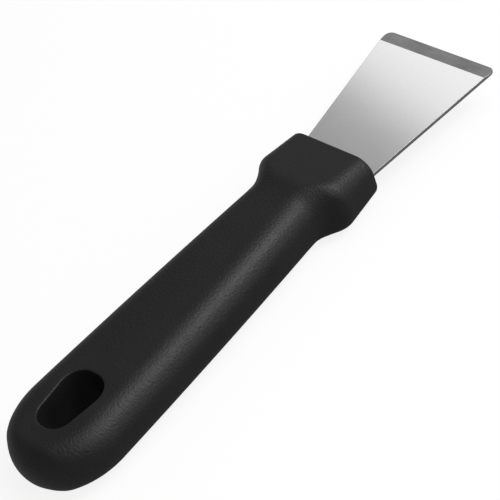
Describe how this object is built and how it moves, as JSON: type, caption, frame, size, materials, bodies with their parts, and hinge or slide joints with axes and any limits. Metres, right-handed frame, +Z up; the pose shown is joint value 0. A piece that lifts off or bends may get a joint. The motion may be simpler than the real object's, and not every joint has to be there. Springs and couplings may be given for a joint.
{
  "type": "kitchen scraper spatula",
  "caption": "Kitchen scraper: a fan-shaped steel blade with a ground front edge, fixed by its tang in a waisted black plastic handle with a long hanging hole.",
  "frame": {"origin": "on the surface that the tool lies on, under the middle of its overall length and width", "axes": "+X from the butt of the handle to the edge of the blade, +Y to the left as seen from the butt, +Z up through the blade's ground face"},
  "size_m": [0.175, 0.04, 0.0192],
  "materials": {
    "steel": "satin stainless sheet, with a duller ground band along the edge",
    "black_plastic": "finely textured moulding"
  },
  "bodies": {
    "root": {"blade": "steel", "handle": "black_plastic"}
  },
  "joints": []
}
